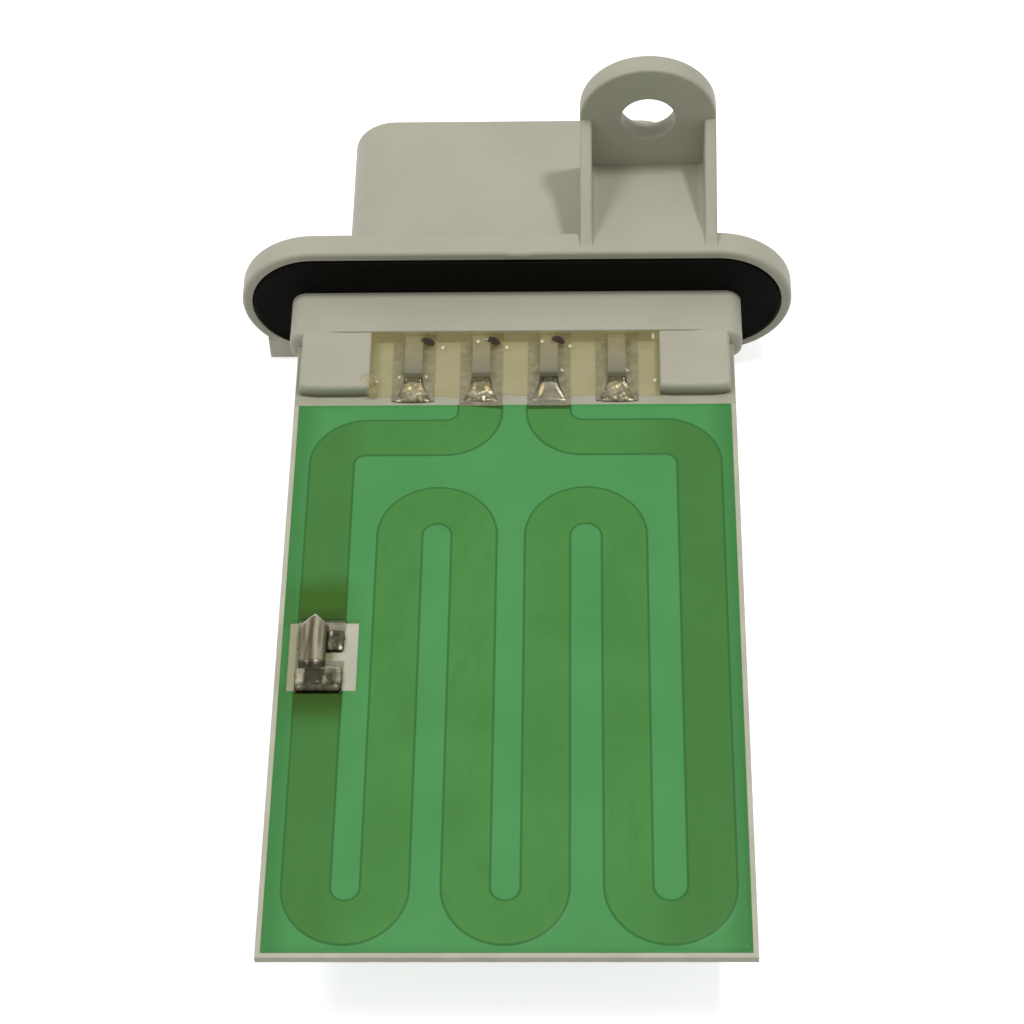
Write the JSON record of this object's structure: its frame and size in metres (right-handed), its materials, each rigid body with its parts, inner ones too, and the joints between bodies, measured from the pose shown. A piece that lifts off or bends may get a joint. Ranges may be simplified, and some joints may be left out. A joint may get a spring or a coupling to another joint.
{
  "type": "blower motor resistor",
  "caption": "Printed ceramic resistor board with a thermal fuse, in a plastic connector housing with a gasketed flange and a screw tab.",
  "frame": {"origin": "middle of the flange's sealing plane, on the board's mid-plane", "axes": "+X runs across the board, +Y from the board towards the connector, +Z out of the board's component side"},
  "size_m": [0.0512, 0.0872, 0.0271],
  "materials": {
    "housing_plastic": "warm grey moulded plastic, satin",
    "gasket_rubber": "black, dull",
    "ceramic": "off-white fired alumina ceramic",
    "overglaze": "green glassy overglaze, slightly translucent",
    "resistor_print": "dark fired resistor paste",
    "conductor_print": "tinned silver paste",
    "terminal_metal": "tinned copper alloy",
    "solder": "bright solder",
    "resin": "clear yellowish resin"
  },
  "bodies": {
    "root": {"housing": "housing_plastic", "gasket": "gasket_rubber", "ceramic_substrate": "ceramic", "front_overglaze": "overglaze", "back_overglaze": "overglaze", "front_resistor_track": "resistor_print", "fused_resistor_track": "resistor_print", "back_resistor_track_left": "resistor_print", "back_resistor_track_right": "resistor_print", "front_conductor_pad_1": "conductor_print", "front_conductor_pad_2": "conductor_print", "front_conductor_pad_3": "conductor_print", "front_conductor_pad_4": "conductor_print", "back_conductor_pad_1": "conductor_print", "back_conductor_pad_2": "conductor_print", "back_conductor_pad_3": "conductor_print", "back_conductor_pad_4": "conductor_print", "fuse_pad_upper": "conductor_print", "fuse_pad_lower": "conductor_print", "terminal_1": "terminal_metal", "terminal_2": "terminal_metal", "terminal_3": "terminal_metal", "terminal_4": "terminal_metal", "fuse_clip": "terminal_metal", "front_solder_joint_1": "solder", "front_solder_joint_2": "solder", "front_solder_joint_3": "solder", "front_solder_joint_4": "solder", "back_solder_joint_1": "solder", "back_solder_joint_2": "solder", "back_solder_joint_3": "solder", "back_solder_joint_4": "solder", "fuse_solder_upper": "solder", "fuse_solder_lower": "solder", "sealing_resin": "resin"}
  },
  "joints": []
}
